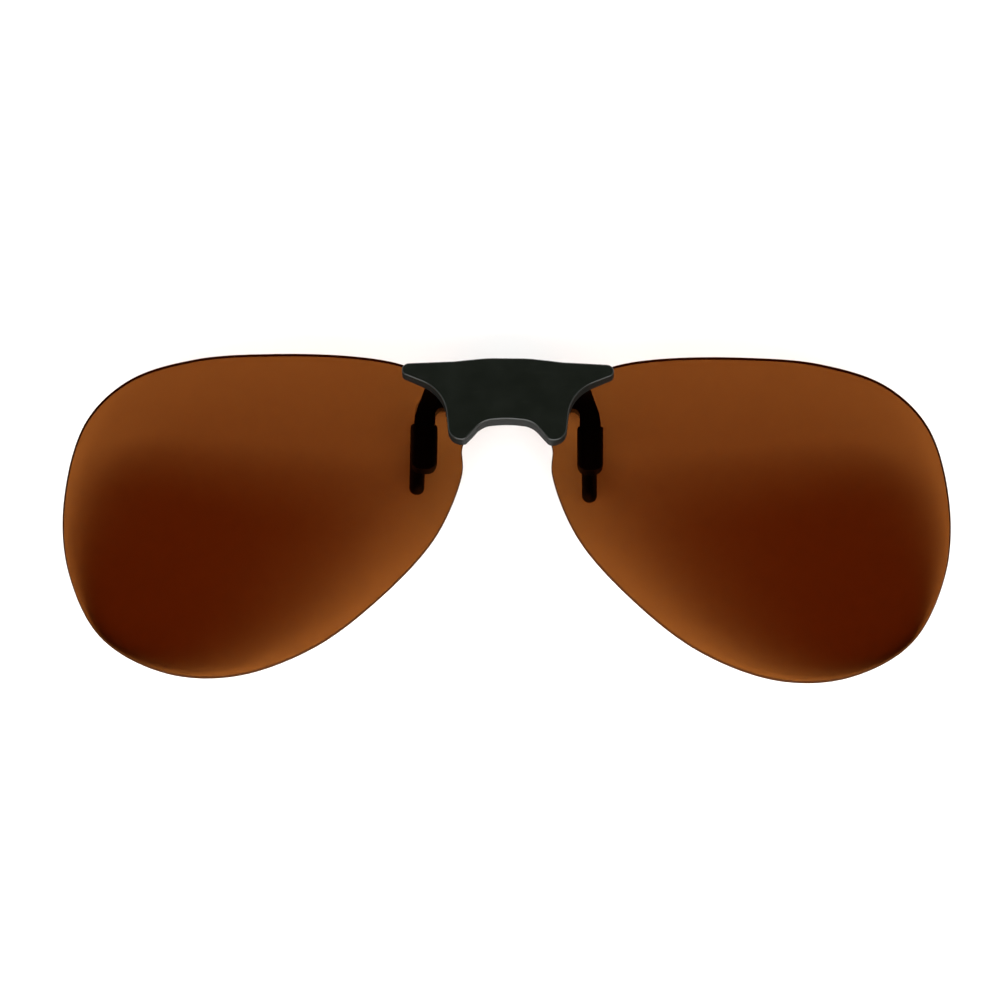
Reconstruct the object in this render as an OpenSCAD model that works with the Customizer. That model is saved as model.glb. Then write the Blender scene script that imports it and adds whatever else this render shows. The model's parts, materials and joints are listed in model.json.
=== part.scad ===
// Clip-on flip lenses: two rimless teardrop lenses on a flip hinge, carried by a spring clamp
// that grips the bridge of a pair of spectacles. The lenses are closed and the object lies on
// its back, on the lever's pad and the lower outer edges of the lenses.
//
// Every part is drawn as worn, with X to the wearer's left, Y to the rear and Z up, and with
// the flip axis along X through the origin. lying() then lays the whole object down.

/* [Lenses] */
// Width of one lens, nose side to temple side
lens_w = 62.5; // [60:0.5:65]
// Height of one lens
lens_h = 52.5; // [50:0.5:55]
// Gap between the two lenses at the nose
nose_gap = 14; // [13:0.5:15]
// Height of the lens tops above the flip axis
lens_top = 4.5; // [4:0.1:5]
// Radius of the front of a lens
lens_r = 130; // [125:5:140]
// Thickness of a lens
lens_t = 1; // [0.8:0.1:1.2]
// Angle by which each lens wraps back towards the temple
lens_wrap = 5; // [4:0.5:6]

/* [Cover] */
// Distance of the cover's front from the flip axis
cover_front = 7.6; // [7.4:0.1:8]
// How far the wing tips fall back from the front
wing_fall = 0.5; // [0.2:0.1:0.8]
// Thickness of the cover's front wall
cover_wall = 1.2; // [1:0.1:1.6]

/* [Clamp] */
// Half width of the clamp body
body_half = 7.8; // [7.6:0.1:8]
// Distance from the middle to the middle of a front leg
leg_x = 13.05; // [12.8:0.05:13.3]
// Width of a front leg
leg_w = 3.3; // [3:0.1:3.5]
// Depth of the lower end of a front leg below the flip axis
leg_end = 13.4; // [12:0.2:14]
// Wall of the soft sleeve on a front leg
sleeve_wall = 0.4; // [0.3:0.05:0.5]

/* [Rear lever] */
// How far the lever leans back when the jaws are shut
lever_lean = 16; // [14:1:18]
// Height of the lever above its pivot
lever_h = 6.6; // [6:0.2:7]
// Half width of the lever's finger tab
tab_half = 6.5; // [6:0.1:7]
// Wire radius of the rear prongs
prong_r = 0.6; // [0.5:0.05:0.65]
// Outer radius of the soft sleeve on a rear prong
rear_sleeve_r = 1.2; // [1.1:0.05:1.25]

/* [Pins and springs] */
// Radius of the flip pin
flip_pin_r = 0.75; // [0.7:0.01:0.8]
// Radius of the jaw pin
jaw_pin_r = 0.6; // [0.55:0.01:0.62]
// Wire radius of the jaw spring
spring_wire_r = 0.25; // [0.2:0.01:0.26]
// Thickness of the detent leaf
leaf_t = 0.25; // [0.2:0.01:0.26]

/* [Hidden] */

$fn = 64;
sphere_steps = 240;   // facets round a lens sphere
curve_steps = 8;      // pieces in each stretch of the lens outline
arc_steps = 6;        // pieces in each rounded corner
play = 0.04;          // radial clearance of a turning pin
seat = 0.03;          // clearance of a lens in its seat
eps = 0.5;            // how far a cutter passes the face that it opens

// ---- Lens outline -------------------------------------------------------------------------

// Points on the outline of a lens 62.5 wide and 52.5 high, from its nose edge and its top.
// The first is where the top comes out from under the cover. The last five bound the tab that
// stays hidden between the cover and the hinge plate.
lens_outline = [
    [10.5, -1.5], [17, -0.5], [30, 0], [42.5, -0.5], [53, -3.5], [59.5, -10], [62.5, -22.5],
    [61.5, -34.5], [56, -45.5], [46, -51.5], [35, -52.5], [23, -48.5], [12.5, -40.5],
    [4, -30.5], [0, -20], [0, -15.5], [-1.5, -12], [-2, -8.5], [0, -5.5], [5, -3.5]
];

function lens_place(p) = [nose_gap / 2 + p.x * lens_w / 62.5, lens_top + p.y * lens_h / 52.5];

// One stretch of a centripetal Catmull-Rom curve, from b to c.
function curve_stretch(a, b, c, d) = let(
    ab = sqrt(norm(b - a)),
    bc = sqrt(norm(c - b)),
    cd = sqrt(norm(d - c)),
    leave = (c - b) + bc * ((b - a) / ab - (c - a) / (ab + bc)),
    arrive = (c - b) + bc * ((d - c) / cd - (d - b) / (bc + cd))
) [for (i = [0:curve_steps - 1]) let(t = i / curve_steps)
    b + leave * t + (3 * (c - b) - 2 * leave - arrive) * t * t
        + (2 * (b - c) + leave + arrive) * t * t * t];

function closed_curve(p) = let(n = len(p)) [for (i = [0:n - 1])
    each curve_stretch(p[i], p[(i + 1) % n], p[(i + 2) % n], p[(i + 3) % n])];

lens_curve = closed_curve([for (p = lens_outline) lens_place(p)]);

// Middle of the left lens's sphere: behind the lens's own middle, turned by the wrap.
lens_mid_x = nose_gap / 2 + lens_w / 2;
lens_mid_z = lens_top - lens_h / 2 - 2;
lens_mid_y = -6.4;
sphere_mid = [lens_mid_x - lens_r * sin(lens_wrap), lens_mid_y + lens_r * cos(lens_wrap),
    lens_mid_z];

// Distance of a lens surface from the flip axis, at x and z, for the sphere of radius r.
function lens_y(x, z, r) = sphere_mid.y
    - sqrt(r * r - pow(abs(x) - sphere_mid.x, 2) - pow(z - sphere_mid.z, 2));

// ---- Outlines with rounded corners --------------------------------------------------------

function unit(v) = v / norm(v);

// The arc of radius r that rounds corner b, between its neighbours a and c.
function corner_arc(a, b, c, r) = let(
    u = unit(a - b),
    v = unit(c - b),
    half = acos(u * v) / 2,
    mid = b + unit(u + v) * r / sin(half),
    start = b + u * r / tan(half) - mid,
    stop = b + v * r / tan(half) - mid,
    from = atan2(start.y, start.x),
    turn = atan2(cross(start, stop), start * stop)
) [for (i = [0:arc_steps]) let(w = from + turn * i / arc_steps) mid + r * [cos(w), sin(w)]];

// Closed outline through corners [x, z, radius]; radius 0 keeps the corner sharp.
function rounded(c) = let(n = len(c)) [for (i = [0:n - 1]) let(
        here = [c[i].x, c[i].y],
        before = c[(i + n - 1) % n],
        after = c[(i + 1) % n]
    ) each c[i].z == 0 ? [here]
        : corner_arc([before.x, before.y], here, [after.x, after.y], c[i].z)];

// The corners of a right half, top to bottom, and their mirror image.
function both_halves(c) = concat(c, [for (i = [len(c) - 1:-1:0]) [-c[i].x, c[i].y, c[i].z]]);

cover_outline = rounded(both_halves([
    [3.2, 2.65, 20], [8.4, 2.1, 8], [16.6, 1.95, 1.1], [16.65, 0.25, 0.85], [9.9, -2.7, 6.5],
    [9.1, -10.85, 2.1], [6.6, -10.85, 1], [3.9, -7.7, 3.6], [0.8, -7.4, 8]
]));

plate_outline = rounded(both_halves([
    [12.1, 1.1, 1.2], [12.1, -1.2, 1], [8.8, -3.6, 2.5], [8.6, -7.2, 1.2], [6, -7.2, 1],
    [4.8, -5.9, 1.2]
]));

// ---- Hinge and clamp sizes ----------------------------------------------------------------

plate_rear = -2.2;                 // rear face of the hinge plate
plate_mid_front = -4.35;           // front of its thick middle, against the cover
middle_half = 4.6;                 // half width of that middle, between the lens tabs
cover_mid_back = -4.4;             // back of the cover between the lens tabs
seat_half = 4.9;                   // where the cover's lens seats begin
screws_at = [[10.5, -0.4], [7.4, -5.8]];
screw_r = 0.6;
screw_head = [1, 0.45];            // radius and height
screw_end = -6.6;                  // tip of a screw
bush_r = [0.63, 0.93];             // inner and outer radius of a bush
lens_hole_r = 0.95;

hub_half = 3;                      // half width of the flip hub
cam_half = 1.9;                    // from the flip axis to each flat of the cam
cam_corner_r = 2.35;               // radius of the cam's corners
barrel_r = 1.9;                    // radius of the body's barrel round the flip pin
pocket_half = 3.2;                 // half width of the pocket that the hub turns in
pocket_back = 2.75;
pocket_floor = -2.55;
body_back = 3.4;
body_floor = -4.6;
leaf_y = 1.92;                     // front face of the detent leaf
leaf_foot = -4.2;
leaf_half = 2.6;
leaf_slot_play = 0.02;

arm_y = [-1.2, 0.8];               // front and rear of the arms and legs
arm_corners = [[7.6, 1.4, 0], [12.5, 1.4, 1], [14.7, -4.9, 8], [14.7, -leg_end, 1.2],
    [11.4, -leg_end, 1.2], [11.4, -3.5, 1.2], [7.6, -3.5, 0]];
sleeve_top = -6.5;

pivot = [5.3, -1.6];               // jaw pin, in y and z
ear_r = 1.6;
lever_ear = [3.4, 5.4];            // inner and outer x of a lever ear
body_ear = [5.6, 7.4];
lever_y = [-0.4, 1.3];             // front and rear of the lever, in its own leaning frame
window_h = 1.9;                    // height of the gap that the spring coil lies in
boss_r = 1.15;
boss_at = [0.3, 2.6];              // prong boss, in the lever's own y and z
pad_h = 4.6;                       // where the flat rest pad begins
groove_r = 0.3;

// A place in the leaning lever's own y and z, as worn.
function on_lever(p) = [
    pivot.x + p.x * cos(lever_lean) + p.y * sin(lever_lean),
    pivot.y - p.x * sin(lever_lean) + p.y * cos(lever_lean)
];

boss = on_lever(boss_at);
prong_x = 13.6;                    // x of a rear prong's long leg, were the pair centred
prong_shift = 0.6;                 // how far the pair sits towards the wearer's right
prong_bend = 3;
prong_lean = 14;                   // how far the prongs lean forward, going down
prong_mid_len = 18.4;              // reach of a prong's long leg below the boss, on average
prong_uneven = 0.6;                // how much further the left prong reaches, and less the right
rear_sleeve_len = 11.2;
sleeve_tip = 0.4;                  // silicone beyond the end of the wire

coil_r = 1.15;                     // mean radius of the jaw spring
coil_half = 2.75;
leg_a_len = 2.3;                   // into the clamp body's wall
leg_b_len = 3.2;                   // up the front of the prong boss
leg_b_lean = 16;
coil_turns = 5;

// ---- Lying down ---------------------------------------------------------------------------

pad = on_lever([lever_y[1], pad_h]);

// The tilt at which the pad and the lenses' lower rear edges touch one flat surface.
rest_tilt = min([for (p = lens_curve) if (p.y < lens_mid_z)
    atan((pad.x - lens_y(p.x, p.y, lens_r - lens_t)) / (pad.y - p.y))]);

// Length and height of a worn place (y, z) once the object lies down.
function lying_y(y, z) = y * sin(rest_tilt) + z * cos(rest_tilt);
function lying_z(y, z) = z * sin(rest_tilt) - y * cos(rest_tilt);

tab_corner = on_lever([lever_y[0], lever_h]);
rest_far = lying_y(tab_corner.x, tab_corner.y);
rest_near = min([for (p = lens_curve, r = [lens_r, lens_r - lens_t])
    lying_y(lens_y(p.x, p.y, r), p.y)]);
rest_y = -(rest_far + rest_near) / 2;
rest_z = -lying_z(pad.x, pad.y);

module lying() {
    translate([0, rest_y, rest_z]) rotate([rest_tilt - 90, 0, 0]) children();
}

// ---- Building shapes ----------------------------------------------------------------------

// A flat outline in x and z, from y0 to y1.
module slab(points, y0, y1) {
    translate([0, y1, 0]) rotate([90, 0, 0]) linear_extrude(y1 - y0) polygon(points);
}

// A block between two opposite corners.
module block(low, high) {
    translate(low) cube(high - low);
}

// A round bar along x, at y and z, from x0 to x1.
module bar_x(r, at, x0, x1) {
    translate([x0, at.x, at.y]) rotate([0, 90, 0]) cylinder(r = r, h = x1 - x0);
}

// A round bar along y, at x and z, from y0 to y1.
module bar_y(r, at, y0, y1) {
    translate([at.x, y1, at.y]) rotate([90, 0, 0]) cylinder(r = r, h = y1 - y0);
}

// The ball whose surface is a lens surface, on one side of the nose.
module lens_ball(side, r) {
    translate([side * sphere_mid.x, sphere_mid.y, sphere_mid.z])
        sphere(r = r, $fn = sphere_steps);
}

// Children once at every screw, on both sides.
module at_screws() {
    for (side = [-1, 1], at = screws_at) translate([side * at.x, 0, at.y]) children();
}

module leaning_lever() {
    translate([0, pivot.x, pivot.y]) rotate([-lever_lean, 0, 0]) children();
}

// ---- Lens carrier -------------------------------------------------------------------------

module front_cover() {
    wing_x = 17;
    crown_half = 7;
    color("#15171a") difference() {
        intersection() {
            slab(cover_outline, -cover_front, -3.4);
            linear_extrude(40, center = true) polygon([
                [-wing_x, 0], [-wing_x, wing_fall - cover_front], [-crown_half, -cover_front],
                [crown_half, -cover_front], [wing_x, wing_fall - cover_front], [wing_x, 0]
            ]);
        }
        block([-seat_half, cover_mid_back, -20], [seat_half, 0, 20]);
        block([-seat_half, cover_wall - cover_front, -5.4], [seat_half, 0, 0.9]);
        for (side = [-1, 1]) intersection() {
            lens_ball(side, lens_r + seat);
            block([side > 0 ? seat_half - eps : -20, -9, -20],
                [side > 0 ? 20 : eps - seat_half, 0, 20]);
        }
        at_screws() bar_y(screw_r + 0.02, [0, 0], screw_end - 0.2, 0);
    }
}

module hinge_plate() {
    color("#2a2a2c") difference() {
        union() {
            for (side = [-1, 1]) intersection() {
                slab(plate_outline, -6, plate_rear);
                lens_ball(side, lens_r - lens_t - seat);
                block([side > 0 ? 0 : -20, -9, -20], [side > 0 ? 20 : 0, 0, 20]);
            }
            block([-middle_half, plate_mid_front, -5.3], [middle_half, plate_rear, 0.8]);
            intersection() {
                block([-hub_half, -cam_half, -cam_half], [hub_half, cam_half, cam_half]);
                bar_x(cam_corner_r, [0, 0], -hub_half, hub_half);
            }
            block([-hub_half, plate_rear - 0.1, -cam_half], [hub_half, -1.2, cam_half]);
        }
        bar_x(flip_pin_r + play, [0, 0], -hub_half - eps, hub_half + eps);
        at_screws() {
            bar_y(screw_r + 0.02, [0, 0], -6, 0);
            bar_y(screw_head[0] + 0.05, [0, 0], plate_rear - screw_head[1], 0);
        }
    }
}

module lens(side) {
    color("#7a3d0c") difference() {
        intersection() {
            scale([side, 1, 1]) slab(lens_curve, -12, 6);
            lens_ball(side, lens_r);
        }
        lens_ball(side, lens_r - lens_t);
        for (at = screws_at) bar_y(lens_hole_r, [side * at.x, at.y], -12, 6);
    }
}

module left_lens() lens(1);
module right_lens() lens(-1);

module lens_screws() {
    color("#9a9a9c") at_screws() {
        bar_y(screw_r, [0, 0], screw_end, plate_rear - 0.1);
        difference() {
            bar_y(screw_head[0], [0, 0], plate_rear - screw_head[1], plate_rear);
            block([-1.2, plate_rear - 0.2, -0.15], [1.2, 0, 0.15]);
        }
    }
}

module lens_bushes() {
    inset = 0.15;
    color("#e8e6df") for (side = [-1, 1], at = screws_at) {
        front = lens_y(at.x, at.y, lens_r) + inset;
        rear = lens_y(at.x, at.y, lens_r - lens_t) - inset;
        difference() {
            bar_y(bush_r[1], [side * at.x, at.y], front, rear);
            bar_y(bush_r[0], [side * at.x, at.y], front - eps, rear + eps);
        }
    }
}

// ---- Clamp --------------------------------------------------------------------------------

module clamp_body() {
    color("#0c0c0d") difference() {
        union() {
            block([-body_half, 0, body_floor], [body_half, body_back, barrel_r]);
            block([-body_half, -barrel_r, body_floor], [body_half, 0, 0]);
            bar_x(barrel_r, [0, 0], -body_half, body_half);
            for (side = [-1, 1]) {
                scale([side, 1, 1]) slab(rounded(arm_corners), arm_y[0], arm_y[1]);
                body_ear_at(side);
            }
        }
        block([-pocket_half, -3, pocket_floor], [pocket_half, pocket_back, 3]);
        block([-leaf_half - leaf_slot_play, leaf_y - leaf_slot_play, leaf_foot - 0.1],
            [leaf_half + leaf_slot_play, leaf_y + leaf_t + leaf_slot_play, 0]);
        bar_x(flip_pin_r, [0, 0], -body_half - eps, body_half + eps);
        bar_x(jaw_pin_r, pivot, -body_ear[1] - eps, body_ear[1] + eps);
        bar_y(spring_wire_r + 0.05, [-coil_half, pivot.y + coil_r], pocket_back - eps,
            body_back + eps);
    }
}

module body_ear_at(side) {
    from = side > 0 ? body_ear[0] : -body_ear[1];
    to = side > 0 ? body_ear[1] : -body_ear[0];
    bar_x(ear_r, pivot, from, to);
    block([from, body_back - 0.2, pivot.y - ear_r], [to, pivot.x, pivot.y + ear_r]);
}

module front_sleeve(side) {
    corner_r = 0.9;
    outer_half = leg_w / 2 + sleeve_wall;
    low = -leg_end - sleeve_wall;
    face = rounded([[leg_x - outer_half, sleeve_top, 0.3], [leg_x + outer_half, sleeve_top, 0.3],
        [leg_x + outer_half, low, 1.6], [leg_x - outer_half, low, 1.6]]);
    mid_y = (arm_y[0] + arm_y[1]) / 2;
    half_y = (arm_y[1] - arm_y[0]) / 2 + sleeve_wall;
    section = rounded([[leg_x - outer_half, mid_y - half_y, corner_r],
        [leg_x + outer_half, mid_y - half_y, corner_r],
        [leg_x + outer_half, mid_y + half_y, corner_r],
        [leg_x - outer_half, mid_y + half_y, corner_r]]);
    color("#0a0a0a") scale([side, 1, 1]) difference() {
        intersection() {
            slab(face, -4, 4);
            translate([0, 0, -20]) linear_extrude(20) polygon(section);
        }
        slab(rounded(arm_corners), arm_y[0], arm_y[1]);
    }
}

module left_front_sleeve() front_sleeve(1);
module right_front_sleeve() front_sleeve(-1);

module flip_pin() {
    color("#b4b4b6") bar_x(flip_pin_r, [0, 0], -body_half, body_half);
}

module detent_spring() {
    color("#9c9ca0") block([-leaf_half, leaf_y, leaf_foot], [leaf_half, leaf_y + leaf_t, barrel_r]);
}

module jaw_pin() {
    color("#b4b4b6") bar_x(jaw_pin_r, pivot, -body_ear[1], body_ear[1]);
}

// ---- Rear jaw -----------------------------------------------------------------------------

module rear_lever() {
    tab = rounded([[tab_half, lever_h, 1.4], [tab_half, 4, 0.8], [lever_ear[1], 3.2, 0.6],
        [lever_ear[1], 0, 0], [lever_ear[0], 0, 0], [lever_ear[0], window_h, 0.3],
        [-lever_ear[0], window_h, 0.3], [-lever_ear[0], 0, 0], [-lever_ear[1], 0, 0],
        [-lever_ear[1], 3.2, 0.6], [-tab_half, 4, 0.8], [-tab_half, lever_h, 1.4]]);
    color("#101011") difference() {
        leaning_lever() {
            slab(tab, lever_y[0], lever_y[1]);
            bar_x(boss_r, boss_at, -lever_ear[1], lever_ear[1]);
            bar_x(ear_r, [0, 0], lever_ear[0], lever_ear[1]);
            bar_x(ear_r, [0, 0], -lever_ear[1], -lever_ear[0]);
        }
        leaning_lever() {
            bar_x(jaw_pin_r + play, [0, 0], -lever_ear[1] - eps, lever_ear[1] + eps);
            bar_x(prong_r, boss_at, lever_ear[0], lever_ear[1] + eps);
            bar_x(prong_r, boss_at, -lever_ear[1] - eps, -lever_ear[0]);
        }
        beyond_rest() for (h = [0.5, 1.1])
            translate([-20, 0, h]) rotate([0, 90, 0]) cylinder(r = groove_r, h = 40);
    }
}

// What lies beyond the resting plane, and children on it, measured up from the pad's foot.
module beyond_rest() {
    translate([0, pad.x, pad.y]) rotate([-rest_tilt, 0, 0]) {
        block([-20, 0, -20], [20, 10, 20]);
        children();
    }
}

function prong_at(side) = prong_x - side * prong_shift;
function prong_len(side) = prong_mid_len + side * prong_uneven;

// Children in the frame of one prong: the origin at its corner, -z down its long leg.
module on_prong(side) {
    translate([side * prong_at(side), boss.x, boss.y]) rotate([-prong_lean, 0, 0]) scale([side, 1, 1])
        children();
}

module rear_prong(side) {
    color("#8e8e92") {
        bar_x(prong_r, boss, side > 0 ? lever_ear[0] : prong_bend - prong_at(side),
            side > 0 ? prong_at(side) - prong_bend : -lever_ear[0]);
        on_prong(side) translate([-prong_bend, 0, -prong_bend]) rotate([90, 0, 0])
            rotate_extrude(angle = 90) translate([prong_bend, 0]) circle(r = prong_r);
        on_prong(side) translate([0, 0, -prong_len(side)])
            cylinder(r = prong_r, h = prong_len(side) - prong_bend);
    }
}

module left_rear_prong() rear_prong(1);
module right_rear_prong() rear_prong(-1);

module rear_sleeve(side) {
    round_at = rear_sleeve_r - sleeve_tip - prong_len(side);
    color("#0a0a0a") on_prong(side) difference() {
        union() {
            translate([0, 0, round_at]) sphere(r = rear_sleeve_r);
            translate([0, 0, round_at]) cylinder(r = rear_sleeve_r, h = rear_sleeve_len);
        }
        translate([0, 0, -prong_len(side)]) cylinder(r = prong_r, h = prong_len(side));
    }
}

module left_rear_sleeve() rear_sleeve(1);
module right_rear_sleeve() rear_sleeve(-1);

// Places along the jaw spring's wire, each [x, y, z, heading]. Leg A comes back out of the
// clamp body's wall over the top of the pin; leg B leaves the front, up to the prong boss.
coil_sweep = 90 - (180 - leg_b_lean) + 360 * coil_turns;
coil_rings = 14 * coil_turns;
function coil_place(f) = let(w = 90 - coil_sweep * f)
    [coil_half * (2 * f - 1), pivot.x + coil_r * cos(w), pivot.y + coil_r * sin(w), w - 90];
spring_path = let(
    first = coil_place(0),
    last = coil_place(1)
) concat(
    [first - [0, leg_a_len, 0, 0]],
    [for (i = [0:coil_rings]) coil_place(i / coil_rings)],
    [last + leg_b_len * [0, cos(last[3]), sin(last[3]), 0]]
);

module jaw_spring() {
    sides = 8;
    rings = len(spring_path);
    points = [for (p = spring_path, k = [0:sides - 1]) let(a = 360 * k / sides)
        [p.x, p.y, p.z] + spring_wire_r * (cos(a) * [1, 0, 0]
            + sin(a) * [0, -sin(p[3]), cos(p[3])])];
    walls = [for (i = [0:rings - 2], k = [0:sides - 1]) let(
            here = i * sides + k,
            beside = i * sides + (k + 1) % sides
        ) each [[here, beside, here + sides], [beside, beside + sides, here + sides]]];
    ends = [[for (k = [sides - 1:-1:0]) k],
        [for (k = [0:sides - 1]) (rings - 1) * sides + k]];
    color("#a0a0a4") polyhedron(points, concat(walls, ends));
}

// ---- Assembly -----------------------------------------------------------------------------

lying() front_cover();
lying() hinge_plate();
lying() left_lens();
lying() right_lens();
lying() lens_screws();
lying() lens_bushes();
lying() clamp_body();
lying() left_front_sleeve();
lying() right_front_sleeve();
lying() flip_pin();
lying() detent_spring();
lying() jaw_pin();
lying() rear_lever();
lying() left_rear_prong();
lying() right_rear_prong();
lying() left_rear_sleeve();
lying() right_rear_sleeve();
lying() jaw_spring();
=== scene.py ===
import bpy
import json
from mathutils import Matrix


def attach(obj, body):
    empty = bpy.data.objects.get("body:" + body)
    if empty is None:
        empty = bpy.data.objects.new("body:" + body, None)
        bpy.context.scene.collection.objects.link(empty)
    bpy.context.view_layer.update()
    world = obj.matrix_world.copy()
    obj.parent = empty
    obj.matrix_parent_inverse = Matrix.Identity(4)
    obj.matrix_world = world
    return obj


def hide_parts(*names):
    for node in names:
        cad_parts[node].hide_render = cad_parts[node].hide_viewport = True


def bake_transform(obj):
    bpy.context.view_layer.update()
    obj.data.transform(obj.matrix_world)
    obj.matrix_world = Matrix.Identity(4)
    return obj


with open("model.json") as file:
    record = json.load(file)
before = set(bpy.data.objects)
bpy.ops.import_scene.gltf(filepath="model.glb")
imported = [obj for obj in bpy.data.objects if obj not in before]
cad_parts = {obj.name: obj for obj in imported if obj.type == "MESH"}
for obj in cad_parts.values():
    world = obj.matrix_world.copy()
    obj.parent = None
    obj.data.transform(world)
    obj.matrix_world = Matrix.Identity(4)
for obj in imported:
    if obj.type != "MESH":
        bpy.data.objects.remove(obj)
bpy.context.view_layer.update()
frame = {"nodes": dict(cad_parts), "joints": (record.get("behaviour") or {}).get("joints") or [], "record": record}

# Looks of the clip-on flip lenses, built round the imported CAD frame.
#
# Pieces are shaped in millimetres as the lenses are worn: X to the wearer's left, Y to the rear,
# Z up, with the flip axis along X through the origin. LIE lays them down where the CAD part is.

import json
import math

import bmesh
import bpy
from mathutils import Matrix, Vector

# ---- Frame ---------------------------------------------------------------------------------

MM = 0.001
JOINTS = {joint["name"]: joint for joint in frame["joints"]}
MOUNTS = {mount["name"]: mount for mount in frame["record"]["mounts"]}

FLIP_AXIS = Vector(JOINTS["lens_flip"]["pos_m"])
GRIP = MOUNTS["spectacle_grip"]["axis"]
TILT = math.atan2(-GRIP[2], -GRIP[1])
LIE = (Matrix.Translation(FLIP_AXIS)
       @ Matrix.Rotation(TILT - math.pi / 2, 4, "X")
       @ Matrix.Scale(MM, 4))
SIDES = {"left": 1, "right": -1}


# ---- Driving dimensions, in worn millimetres ------------------------------------------------

LENS_W = 62.5
LENS_H = 52.5
NOSE_GAP = 14.0
LENS_TOP = 4.5
LENS_R = 130.0
LENS_T = 1.0
LENS_WRAP = math.radians(5)
LENS_MID_Y = -6.4
LENS_DROP = 2          # how far the sphere's pole lies below the middle of the lens's height
LENS_EDGE = 0.16       # radius of the corners that the grinding leaves
LENS_MIDDLE = Vector((37.0, -21.0))  # x and z of the point that a face's rings close in on

# Points on a lens's outline, from its nose edge and its top. The last five bound the tab that
# is clamped behind the cover.
LENS_OUTLINE = [
    (10.5, -1.5), (17, -0.5), (30, 0), (42.5, -0.5), (53, -3.5), (59.5, -10), (62.5, -22.5),
    (61.5, -34.5), (56, -45.5), (46, -51.5), (35, -52.5), (23, -48.5), (12.5, -40.5),
    (4, -30.5), (0, -20), (0, -15.5), (-1.5, -12), (-2, -8.5), (0, -5.5), (5, -3.5),
]

COVER_FRONT = -7.6
COVER_BACK = -4.4
COVER_EDGE = 0.25      # radius of the moulded edge round the cover's front
CREASE_X = 7.2         # where the wings begin to fall back
CREASE_SOFT = 1.2      # how wide the crease is
WING_SLOPE = 0.09      # how fast they do
BACK_FLAT_X = 5.0      # out to here the cover's back is flat against the hinge plate
BACK_BLEND = 1.8       # and over this much further it turns to follow the lenses
LENS_CLEARANCE = 0.03
# Corners of the cover's right half, top to bottom: x, z and radius.
COVER_CORNERS = [
    (3.2, 2.65, 20), (8.4, 2.1, 8), (16.6, 1.95, 1.1), (16.65, 0.25, 0.85), (9.9, -2.7, 6.5),
    (9.1, -10.85, 2.1), (6.6, -10.85, 1), (3.9, -7.7, 3.6), (0.8, -7.4, 8),
]

# ---- Outlines ------------------------------------------------------------------------------


def closed_curve(points, steps):
    """A closed centripetal Catmull-Rom curve through the points."""
    count = len(points)
    curve = []
    for i in range(count):
        a, b, c, d = (Vector(points[(i + k) % count]) for k in range(4))
        ab, bc, cd = (math.sqrt((q - p).length) for p, q in ((a, b), (b, c), (c, d)))
        leave = (c - b) + bc * ((b - a) / ab - (c - a) / (ab + bc))
        arrive = (c - b) + bc * ((d - c) / cd - (d - b) / (bc + cd))
        for step in range(steps):
            t = step / steps
            curve.append(b + leave * t + (3 * (c - b) - 2 * leave - arrive) * t * t
                         + (2 * (b - c) + leave + arrive) * t ** 3)
    return curve


def evenly(points, count):
    """count points spaced evenly along a closed outline."""
    ring = points + points[:1]
    marks = [0.0]
    for a, b in zip(ring, ring[1:]):
        marks.append(marks[-1] + (b - a).length)
    spaced = []
    at = 0
    for k in range(count):
        want = marks[-1] * k / count
        while marks[at + 1] < want:
            at += 1
        share = (want - marks[at]) / (marks[at + 1] - marks[at])
        spaced.append(ring[at].lerp(ring[at + 1], share))
    return spaced


def rounded(corners, steps):
    """A closed outline through corners (x, z, radius), with each corner an arc."""
    outline = []
    count = len(corners)
    for i, (x, z, radius) in enumerate(corners):
        here = Vector((x, z))
        u = (Vector(corners[i - 1][:2]) - here).normalized()
        v = (Vector(corners[(i + 1) % count][:2]) - here).normalized()
        half = math.acos(u.dot(v)) / 2
        middle = here + (u + v).normalized() * radius / math.sin(half)
        start = here + u * radius / math.tan(half) - middle
        stop = here + v * radius / math.tan(half) - middle
        turn = math.atan2(start.x * stop.y - start.y * stop.x, start.dot(stop))
        for step in range(steps + 1):
            outline.append(middle + Matrix.Rotation(turn * step / steps, 2) @ start)
    return outline


def both_halves(corners):
    """The corners of the right half, then their mirror images from the bottom up."""
    return corners + [(-x, z, radius) for x, z, radius in reversed(corners)]


def outward(outline):
    """The outward normal at each point of a closed outline, either way round."""
    area = sum(a.x * b.y - b.x * a.y for a, b in zip(outline, outline[1:] + outline[:1]))
    turn = 1 if area > 0 else -1
    normals = []
    for i, _ in enumerate(outline):
        along = outline[(i + 1) % len(outline)] - outline[i - 1]
        normals.append(Vector((along.y, -along.x)).normalized() * turn)
    return normals


# ---- Pieces --------------------------------------------------------------------------------


def new_piece(name, bm, body, node, materials):
    """Finishes a piece shaped in worn millimetres: lays it down, shades it and rides it.

    body is None for a piece that is attached to no body."""
    bmesh.ops.recalc_face_normals(bm, faces=bm.faces)
    mesh = bpy.data.meshes.new(name)
    bm.to_mesh(mesh)
    bm.free()
    mesh.transform(LIE)
    mesh.shade_smooth()
    mesh.set_sharp_from_angle(angle=math.radians(40))
    piece = bpy.data.objects.new(name, mesh)
    bpy.context.scene.collection.objects.link(piece)
    for material in materials:
        mesh.materials.append(material)
    piece.modifiers.new("normals", "WEIGHTED_NORMAL").keep_sharp = True
    if body:
        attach(piece, body)
    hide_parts(node)
    return piece


def skin(bm, rows, slots=None):
    """Faces between neighbouring rows, each a closed ring of points. slots gives the material
    slot of each band of faces. Returns the rows' vertices."""
    made = [[bm.verts.new(point) for point in row] for row in rows]
    for band, (low, high) in enumerate(zip(made, made[1:])):
        for i, _ in enumerate(low):
            j = (i + 1) % len(low)
            face = bm.faces.new((low[i], low[j], high[j], high[i]))
            face.material_index = slots[band] if slots else 0
    return made


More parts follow.
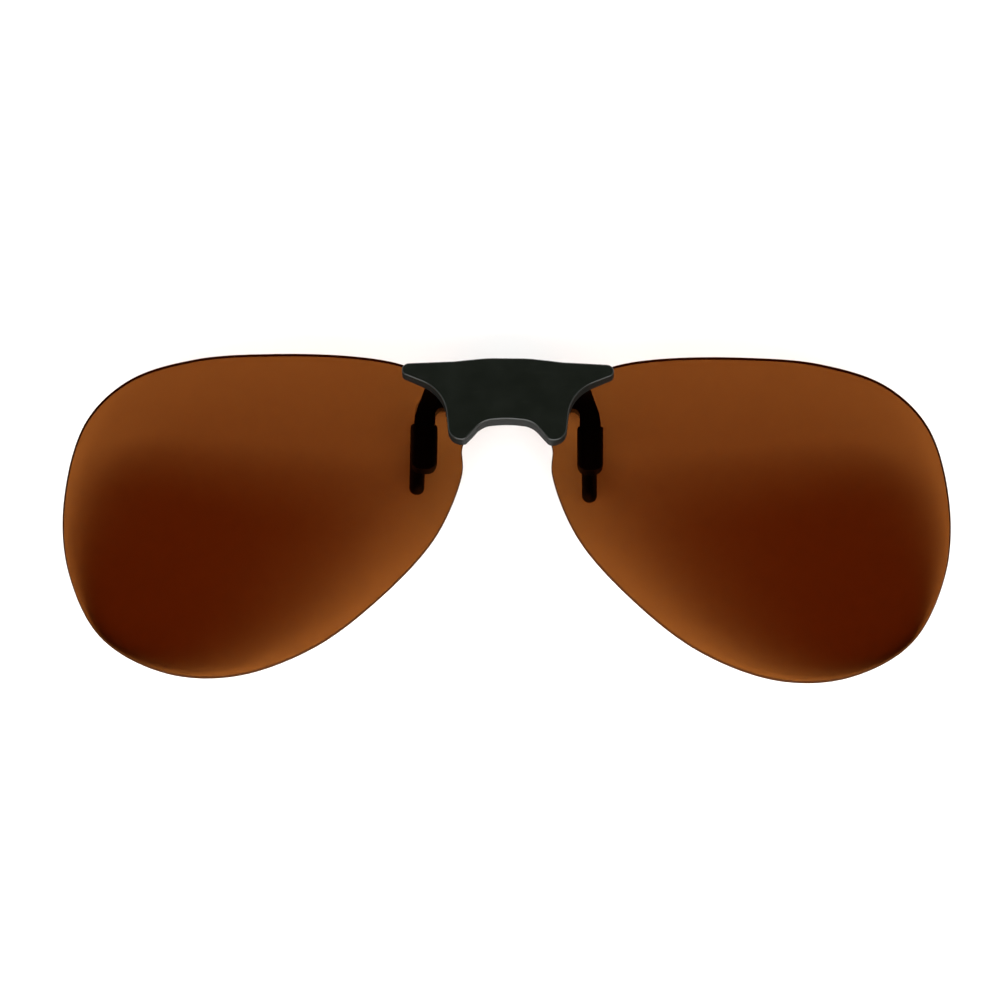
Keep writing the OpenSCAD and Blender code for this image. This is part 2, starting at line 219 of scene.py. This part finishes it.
def cap(bm, ring, slot=0):
    """One face that closes a ring of vertices."""
    bm.faces.new(ring).material_index = slot


def fan(bm, ring, point):
    """Triangles from a ring of vertices to one point."""
    middle = bm.verts.new(point)
    for i, vert in enumerate(ring):
        bm.faces.new((vert, ring[(i + 1) % len(ring)], middle))


def rounding(radius, steps):
    """Inset and depth, step by step, down a quarter circle from a face to a wall."""
    angles = [math.pi / 2 * k / steps for k in range(steps + 1)]
    return [(radius * (1 - math.sin(a)), radius * (1 - math.cos(a))) for a in angles]


# ---- Lenses --------------------------------------------------------------------------------

SPHERE_MID = Vector((
    NOSE_GAP / 2 + LENS_W / 2 - LENS_R * math.sin(LENS_WRAP),
    LENS_MID_Y + LENS_R * math.cos(LENS_WRAP),
    LENS_TOP - LENS_H / 2 - LENS_DROP,
))


def lens_surface(x, z, radius):
    """Y of the lens surface with this radius, at x and z on the wearer's left."""
    return SPHERE_MID.y - math.sqrt(
        radius ** 2 - (x - SPHERE_MID.x) ** 2 - (z - SPHERE_MID.z) ** 2)


def make_lens(name, side, materials):
    """A lens with polished faces and a ground edge that has small rounded corners."""
    around, across, per_point = 480, 26, 24
    points = [(NOSE_GAP / 2 + x, LENS_TOP + z) for x, z in LENS_OUTLINE]
    outline = evenly(closed_curve(points, per_point), around)
    normals = outward(outline)

    def place(flat, depth):
        y = lens_surface(flat.x, flat.y, LENS_R) + depth
        return Vector((side * flat.x, y, flat.y))

    def ring(inset, depth):
        return [place(p - n * inset, depth) for p, n in zip(outline, normals)]

    def face_ring(share, depth):
        rim = [p - n * 2 * LENS_EDGE for p, n in zip(outline, normals)]
        return [place(LENS_MIDDLE + (p - LENS_MIDDLE) * share, depth) for p in rim]

    bm = bmesh.new()
    front = [face_ring(1 - k / across, 0) for k in reversed(range(across))]
    bend = rounding(LENS_EDGE, 4)
    wall = [ring(inset, depth) for inset, depth in bend]
    wall += [ring(0, LENS_T / 2)]
    wall += [ring(inset, LENS_T - depth) for inset, depth in reversed(bend)]
    rear = [face_ring(1 - k / across, LENS_T) for k in range(across)]
    slots = [0] * len(front) + [1] * (len(wall) - 1) + [0] * len(rear)
    rows = skin(bm, front + wall + rear, slots)
    fan(bm, rows[0], place(LENS_MIDDLE, 0))
    fan(bm, rows[-1], place(LENS_MIDDLE, LENS_T))
    return new_piece(name, bm, "lens_carrier", name.replace("_tinted", ""), materials)


# ---- Materials -----------------------------------------------------------------------------


def new_material(name):
    """An empty node material, its nodes and its links."""
    material = bpy.data.materials.new(name)
    material.use_nodes = True
    material.node_tree.nodes.clear()
    return material, material.node_tree.nodes, material.node_tree.links


def add(nodes, kind, **settings):
    """A shader node with its sockets and properties set by name."""
    node = nodes.new(kind)
    for key, value in settings.items():
        socket = next((s for s in node.inputs if s.name.replace(" ", "_") == key), None)
        if socket is not None:
            socket.default_value = value
        else:
            setattr(node, key, value)
    return node


def wear(nodes, links, place, scale_per_mm, spread):
    """A mask, 0 to 1, of hair-fine scuffs that all run much the same way."""
    onset = 0.62
    turn = add(nodes, "ShaderNodeMapping", Rotation=(0.2, 0.1, 0.6), Scale=(0.08, 1.0, 1.0))
    streaks = add(nodes, "ShaderNodeTexNoise", Scale=scale_per_mm / MM, Detail=2.0)
    mask = add(nodes, "ShaderNodeMapRange", From_Min=onset, From_Max=onset + spread)
    links.new(place.outputs["Object"], turn.inputs["Vector"])
    links.new(turn.outputs["Vector"], streaks.inputs["Vector"])
    links.new(streaks.outputs["Fac"], mask.inputs["Value"])
    return mask.outputs["Result"]


def sum_of(nodes, links, first, second, share):
    """first + second * share."""
    total = add(nodes, "ShaderNodeMath", operation="MULTIPLY_ADD")
    links.new(second, total.inputs[0])
    total.inputs[1].default_value = share
    links.new(first, total.inputs[2])
    return total.outputs["Value"]


def blended(nodes, links, factor, low, high):
    """A colour between two, each a plain colour or another node's output."""
    mix = add(nodes, "ShaderNodeMix", data_type="RGBA")
    links.new(factor, mix.inputs["Factor"])
    for socket, colour in ((mix.inputs["A"], low), (mix.inputs["B"], high)):
        if isinstance(colour, tuple):
            socket.default_value = (*colour, 1)
        else:
            links.new(colour, socket)
    return mix.outputs["Result"]


def plastic(name, colour, roughness, grain_mm, grain_height_mm, specular=0.5, scuffs=0.12):
    """Moulded plastic or rubber: a fine eroded grain, clouds of more and less gloss, colour
    that varies slightly with them, and hair-fine scuffs."""
    material, nodes, links = new_material(name)
    place = add(nodes, "ShaderNodeTexCoord")
    grain = add(nodes, "ShaderNodeTexNoise", Scale=1 / (grain_mm * MM), Detail=4.0)
    cloud = add(nodes, "ShaderNodeTexNoise", Scale=0.3 / MM, Detail=3.0)
    gloss = add(nodes, "ShaderNodeMapRange", To_Min=roughness - 0.05, To_Max=roughness + 0.06)
    bump = add(nodes, "ShaderNodeBump", Strength=1.0, Distance=grain_height_mm * MM)
    shader = add(nodes, "ShaderNodeBsdfPrincipled", Specular_IOR_Level=specular)
    out = add(nodes, "ShaderNodeOutputMaterial")
    for noise in (grain, cloud):
        links.new(place.outputs["Object"], noise.inputs["Vector"])
    scuffed = wear(nodes, links, place, 4.0, 0.12)
    links.new(cloud.outputs["Fac"], gloss.inputs["Value"])
    links.new(sum_of(nodes, links, gloss.outputs["Result"], scuffed, scuffs),
              shader.inputs["Roughness"])
    dark, light, worn = (tuple(c * k for c in colour) for k in (0.8, 1.4, 1.3 + 6 * scuffs))
    shade = blended(nodes, links, cloud.outputs["Fac"], dark, light)
    links.new(blended(nodes, links, scuffed, shade, worn), shader.inputs["Base Color"])
    links.new(sum_of(nodes, links, grain.outputs["Fac"], scuffed, -1.5 * scuffs),
              bump.inputs["Height"])
    links.new(bump.outputs["Normal"], shader.inputs["Normal"])
    links.new(shader.outputs["BSDF"], out.inputs["Surface"])
    return material


def metal(name, colour, roughness, draw_mm):
    """Drawn or turned steel: fine lines, faint tarnish and a few scuffs."""
    material, nodes, links = new_material(name)
    place = add(nodes, "ShaderNodeTexCoord")
    stretch = add(nodes, "ShaderNodeMapping", Scale=(0.1, 1.0, 1.0))
    lines = add(nodes, "ShaderNodeTexNoise", Scale=1 / (draw_mm * MM), Detail=3.0)
    tarnish = add(nodes, "ShaderNodeTexNoise", Scale=0.5 / MM, Detail=3.0)
    gloss = add(nodes, "ShaderNodeMapRange", To_Min=roughness - 0.08, To_Max=roughness + 0.1)
    bump = add(nodes, "ShaderNodeBump", Strength=0.5, Distance=0.008 * MM)
    shader = add(nodes, "ShaderNodeBsdfPrincipled", Metallic=1.0)
    out = add(nodes, "ShaderNodeOutputMaterial")
    links.new(place.outputs["Object"], stretch.inputs["Vector"])
    links.new(stretch.outputs["Vector"], lines.inputs["Vector"])
    links.new(place.outputs["Object"], tarnish.inputs["Vector"])
    scuffed = wear(nodes, links, place, 6.0, 0.1)
    links.new(lines.outputs["Fac"], gloss.inputs["Value"])
    links.new(sum_of(nodes, links, gloss.outputs["Result"], scuffed, 0.15),
              shader.inputs["Roughness"])
    shade = blended(nodes, links, tarnish.outputs["Fac"], colour,
                    (colour[0] * 0.86, colour[1] * 0.82, colour[2] * 0.76))
    links.new(shade, shader.inputs["Base Color"])
    links.new(lines.outputs["Fac"], bump.inputs["Height"])
    links.new(bump.outputs["Normal"], shader.inputs["Normal"])
    links.new(shader.outputs["BSDF"], out.inputs["Surface"])
    return material


# What one lens lets through, seen straight on. Each of its two faces takes the square root.
LENS_TINT = (0.19, 0.058, 0.011)


def lens_tint():
    """Clear tinted resin: each face passes light by the tint and mirrors a little."""
    material, nodes, links = new_material("lens_tint")
    through = add(nodes, "ShaderNodeBsdfTransparent",
                  Color=(*[math.sqrt(c) for c in LENS_TINT], 1))
    shine = add(nodes, "ShaderNodeBsdfGlossy", Color=(0.12, 0.12, 0.12, 1))
    place = add(nodes, "ShaderNodeTexCoord")
    smear = add(nodes, "ShaderNodeTexNoise", Scale=0.06 / MM, Detail=2.0)
    polish = add(nodes, "ShaderNodeMapRange", From_Min=0.35, From_Max=0.75, To_Min=0.03,
                 To_Max=0.06)
    facing = add(nodes, "ShaderNodeLayerWeight", Blend=0.5)
    steep = add(nodes, "ShaderNodeMath", operation="POWER")
    steep.inputs[1].default_value = 5.0
    fresnel = add(nodes, "ShaderNodeMapRange", To_Min=0.03, To_Max=1.0)
    mix = add(nodes, "ShaderNodeMixShader")
    out = add(nodes, "ShaderNodeOutputMaterial")
    links.new(place.outputs["Object"], smear.inputs["Vector"])
    links.new(smear.outputs["Fac"], polish.inputs["Value"])
    links.new(polish.outputs["Result"], shine.inputs["Roughness"])
    links.new(facing.outputs["Facing"], steep.inputs[0])
    links.new(steep.outputs["Value"], fresnel.inputs["Value"])
    links.new(fresnel.outputs["Result"], mix.inputs["Fac"])
    links.new(through.outputs["BSDF"], mix.inputs[1])
    links.new(shine.outputs["BSDF"], mix.inputs[2])
    links.new(mix.outputs["Shader"], out.inputs["Surface"])
    return material


def lens_edge():
    """The ground edge, dark because light leaves it after a long way through the tint."""
    material, nodes, links = new_material("lens_edge")
    place = add(nodes, "ShaderNodeTexCoord")
    grind = add(nodes, "ShaderNodeTexNoise", Scale=8 / MM, Detail=2.0)
    bump = add(nodes, "ShaderNodeBump", Strength=0.5, Distance=0.01 * MM)
    shader = add(nodes, "ShaderNodeBsdfPrincipled", Base_Color=(0.03, 0.01, 0.003, 1),
                 Roughness=0.6, Specular_IOR_Level=0.0)
    out = add(nodes, "ShaderNodeOutputMaterial")
    links.new(place.outputs["Object"], grind.inputs["Vector"])
    links.new(grind.outputs["Fac"], bump.inputs["Height"])
    links.new(bump.outputs["Normal"], shader.inputs["Normal"])
    links.new(shader.outputs["BSDF"], out.inputs["Surface"])
    return material


COVER_FACE = plastic("cover_face", (0.0018, 0.0024, 0.0015), 0.3, 0.1, 0.002, specular=0.24,
                     scuffs=0.03)
COVER_SIDE = plastic("cover_side", (0.003, 0.0033, 0.0028), 0.6, 0.15, 0.008, specular=0.08)
BODY_PLASTIC = plastic("body_plastic", (0.0018, 0.0018, 0.0018), 0.4, 0.2, 0.003)
SLEEVE_RUBBER = plastic("sleeve_rubber", (0.0015, 0.0015, 0.0015), 0.6, 0.3, 0.004, specular=0.2)
NYLON = plastic("nylon", (0.6, 0.57, 0.48), 0.5, 0.2, 0.003)
STEEL = metal("steel", (0.56, 0.56, 0.58), 0.25, 0.15)
SPRING_STEEL = metal("spring_steel", (0.4, 0.4, 0.42), 0.3, 0.1)
LENS = [lens_tint(), lens_edge()]

# ---- Cover ---------------------------------------------------------------------------------


def make_cover():
    """The moulded cover: a creased front, a rounded front edge and a back that fits the lenses."""
    per_corner, around, bend_steps = 10, 420, 6
    outline = evenly(rounded(both_halves(COVER_CORNERS), per_corner), around)
    normals = outward(outline)

    def ramp(past):
        """0 well before the crease, and as far as past it well after."""
        return 0.5 * (past + math.sqrt(past ** 2 + CREASE_SOFT ** 2))

    def front_y(x):
        return COVER_FRONT + WING_SLOPE * (ramp(abs(x) - CREASE_X) - ramp(-CREASE_X))

    def back_y(x, z):
        share = min(1.0, max(0.0, (abs(x) - BACK_FLAT_X) / BACK_BLEND))
        share = share * share * (3 - 2 * share)
        on_lens = lens_surface(abs(x), z, LENS_R) - LENS_CLEARANCE
        return COVER_BACK + (on_lens - COVER_BACK) * share

    def place(p, n, inset, depth):
        flat = p - n * inset
        return Vector((flat.x, front_y(flat.x) + depth, flat.y))

    def wall(p, share):
        y = (1 - share) * (front_y(p.x) + COVER_EDGE) + share * back_y(p.x, p.y)
        return Vector((p.x, y, p.y))

    bm = bmesh.new()
    rows = [[place(p, n, inset, depth) for p, n in zip(outline, normals)]
            for inset, depth in rounding(COVER_EDGE, bend_steps)]
    rows += [[wall(p, share) for p in outline] for share in (0.5, 1.0)]
    made = skin(bm, rows, [0] * bend_steps + [1, 1])
    cap(bm, made[0])
    cap(bm, made[-1], 1)

    # Both caps are cut into strips, so that the front can follow its crease.
    strip, strips_a_side, near_front = 0.4, 40, 0.02
    for k in range(-strips_a_side, strips_a_side + 1):
        bmesh.ops.bisect_plane(bm, geom=bm.verts[:] + bm.edges[:] + bm.faces[:],
                               plane_co=(k * strip, 0, 0), plane_no=(1, 0, 0))
    front_ring = set(made[0])
    for vert in bm.verts:
        if vert.co.y < front_y(vert.co.x) + near_front and vert not in front_ring:
            vert.co.y = front_y(vert.co.x)
    return new_piece("bridge_cover", bm, "lens_carrier", "front_cover",
                     [COVER_FACE, COVER_SIDE])


# ---- Jaw spring ----------------------------------------------------------------------------

PIVOT_Y, PIVOT_Z = 5.3, -1.6      # the jaw pin's axis
WIRE_R = 0.25
COIL_R = 1.15
COIL_HALF = 2.75
COIL_TURNS = 5
LEG_A_LEN = 2.3        # into the clamp body's wall
LEG_B_LEN = 3.2        # up the front of the prong boss
LEG_B_LEAN = 16        # degrees


def make_spring():
    """A torsion spring wound round the jaw pin, from one end of its wire to the other."""
    steps, sides = 40 * COIL_TURNS, 16
    sweep = math.radians(90 - (180 - LEG_B_LEAN) + 360 * COIL_TURNS)

    def on_coil(share):
        turn = math.pi / 2 - sweep * share
        place = Vector((COIL_HALF * (2 * share - 1), PIVOT_Y + COIL_R * math.cos(turn),
                        PIVOT_Z + COIL_R * math.sin(turn)))
        return place, turn - math.pi / 2

    path = [on_coil(k / steps) for k in range(steps + 1)]
    (first, start), (last, stop) = path[0], path[-1]
    path.insert(0, (first - Vector((0, LEG_A_LEN, 0)), start))
    path.append((last + LEG_B_LEN * Vector((0, math.cos(stop), math.sin(stop))), stop))
    bm = bmesh.new()
    rings = []
    for place, heading in path:
        across = Vector((0, -math.sin(heading), math.cos(heading)))
        rings.append([place + WIRE_R * (math.cos(a) * Vector((1, 0, 0)) + math.sin(a) * across)
                      for a in (2 * math.pi * k / sides for k in range(sides))])
    made = skin(bm, rings)
    cap(bm, made[0])
    cap(bm, made[-1])
    spring = new_piece("jaw_spring_wire", bm, None, "jaw_spring", [SPRING_STEEL])
    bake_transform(spring)


make_cover()
make_spring()
for word, side in SIDES.items():
    make_lens(f"{word}_lens_tinted", side, LENS)

# ---- CAD nodes that keep their shape ---------------------------------------------------------

KEPT = {
    "hinge_plate": BODY_PLASTIC, "lens_screws": STEEL, "lens_bushes": NYLON,
    "clamp_body": BODY_PLASTIC, "left_front_sleeve": SLEEVE_RUBBER,
    "right_front_sleeve": SLEEVE_RUBBER, "flip_pin": STEEL, "detent_spring": SPRING_STEEL,
    "jaw_pin": STEEL, "rear_lever": BODY_PLASTIC, "left_rear_prong": STEEL,
    "right_rear_prong": STEEL, "left_rear_sleeve": SLEEVE_RUBBER,
    "right_rear_sleeve": SLEEVE_RUBBER,
}
# Radius, in mm, that the moulded and turned ones have on their edges.
SOFT_EDGE = {
    "hinge_plate": 0.15, "clamp_body": 0.2, "left_front_sleeve": 0.18,
    "right_front_sleeve": 0.18, "rear_lever": 0.18, "lens_screws": 0.05, "flip_pin": 0.08,
    "jaw_pin": 0.08, "detent_spring": 0.03,
}


def soften(node, radius):
    """Rounds a CAD node's sharp edges, once its faces are joined."""
    weld = node.modifiers.new("weld", "WELD")
    weld.merge_threshold = 0.001 * MM
    bevel = node.modifiers.new("edges", "BEVEL")
    bevel.width = radius * MM
    bevel.segments = 2
    bevel.limit_method = "ANGLE"
    bevel.angle_limit = math.radians(35)
    node.modifiers.new("normals", "WEIGHTED_NORMAL")
    node.data.shade_smooth()


for name, material in KEPT.items():
    node = frame["nodes"][name]
    node.data.materials.clear()
    node.data.materials.append(material)
    if name in SOFT_EDGE:
        soften(node, SOFT_EDGE[name])

# ---- Floor, lights and camera ----------------------------------------------------------------


def make_floor():
    """A plain pale card."""
    mesh = bpy.data.meshes.new("floor")
    half = 0.5
    mesh.from_pydata([(-half, -half, 0), (half, -half, 0), (half, half, 0), (-half, half, 0)],
                     [], [(0, 1, 2, 3)])
    floor = bpy.data.objects.new("floor", mesh)
    bpy.context.scene.collection.objects.link(floor)
    material, nodes, links = new_material("white_card")
    shader = add(nodes, "ShaderNodeBsdfPrincipled", Base_Color=(0.87, 0.87, 0.86, 1),
                 Roughness=0.9, Specular_IOR_Level=0.1)
    out = add(nodes, "ShaderNodeOutputMaterial")
    links.new(shader.outputs["BSDF"], out.inputs["Surface"])
    mesh.materials.append(material)


def make_light(name, azimuth, elevation, distance, width, height, power):
    """A wide soft light that faces the object, at an azimuth from -Y towards +X."""
    data = bpy.data.lights.new(name, "AREA")
    data.shape = "RECTANGLE"
    data.size = width
    data.size_y = height
    data.energy = power
    light = bpy.data.objects.new(name, data)
    a, e = math.radians(azimuth), math.radians(elevation)
    towards = Vector((math.sin(a) * math.cos(e), -math.cos(a) * math.cos(e), math.sin(e)))
    light.location = towards * distance
    light.rotation_euler = towards.to_track_quat("Z", "Y").to_euler()
    bpy.context.scene.collection.objects.link(light)


def make_world():
    """Bright towards the horizon and dim overhead, as in a light tent with an open top."""
    world = bpy.data.worlds.new("studio")
    world.use_nodes = True
    nodes, links = world.node_tree.nodes, world.node_tree.links
    nodes.clear()
    place = add(nodes, "ShaderNodeTexCoord")
    split = add(nodes, "ShaderNodeSeparateXYZ")
    height = add(nodes, "ShaderNodeMapRange", From_Min=0.15, From_Max=0.65, To_Min=1.0,
                 To_Max=0.02, interpolation_type="SMOOTHSTEP")
    back = add(nodes, "ShaderNodeBackground", Color=(1, 1, 1, 1))
    out = add(nodes, "ShaderNodeOutputWorld")
    links.new(place.outputs["Generated"], split.inputs["Vector"])
    links.new(split.outputs["Z"], height.inputs["Value"])
    links.new(height.outputs["Result"], back.inputs["Strength"])
    links.new(back.outputs["Background"], out.inputs["Surface"])
    bpy.context.scene.world = world


VIEW_ANGLE = math.radians(17)    # how far below the lens's own front the camera looks from
VIEW_DISTANCE = 600.0
VIEW_TARGET = Vector((-1.08, -5.04, -19.85))
VIEW_WIDTH = 155.5               # what the picture takes in, at the target
VIEW_ROLL = math.radians(0.45)


def make_camera():
    """A long lens, aimed in the worn frame and laid down with it."""
    data = bpy.data.cameras.new("camera")
    data.angle = 2 * math.atan(VIEW_WIDTH / 2 / VIEW_DISTANCE)
    data.clip_start = 0.01
    camera = bpy.data.objects.new("camera", data)
    back = Vector((0, -math.cos(VIEW_ANGLE), -math.sin(VIEW_ANGLE)))
    right = Vector((1, 0, 0))
    up = Vector((0, -math.sin(VIEW_ANGLE), math.cos(VIEW_ANGLE)))
    turned_right = right * math.cos(VIEW_ROLL) + up * math.sin(VIEW_ROLL)
    turned_up = up * math.cos(VIEW_ROLL) - right * math.sin(VIEW_ROLL)
    turn = LIE.to_3x3().normalized()
    axes = Matrix((turn @ turned_right, turn @ turned_up, turn @ back)).transposed()
    camera.matrix_world = (Matrix.Translation(LIE @ (VIEW_TARGET + back * VIEW_DISTANCE))
                           @ axes.to_4x4())
    bpy.context.scene.collection.objects.link(camera)
    bpy.context.scene.camera = camera


# Name, azimuth, elevation, distance, width, height and power.
LIGHTS = [
    ("front_soft", 0, 30, 0.5, 0.9, 0.4, 12),
    ("back_soft", 180, 34, 0.8, 0.8, 0.3, 7.5),
    ("left_soft", -90, 26, 0.9, 0.9, 0.4, 4.5),
    ("right_soft", 90, 26, 0.9, 0.9, 0.4, 4.5),
]

make_floor()
make_world()
for settings in LIGHTS:
    make_light(*settings)
make_camera()
bpy.context.scene.view_settings.view_transform = "Standard"
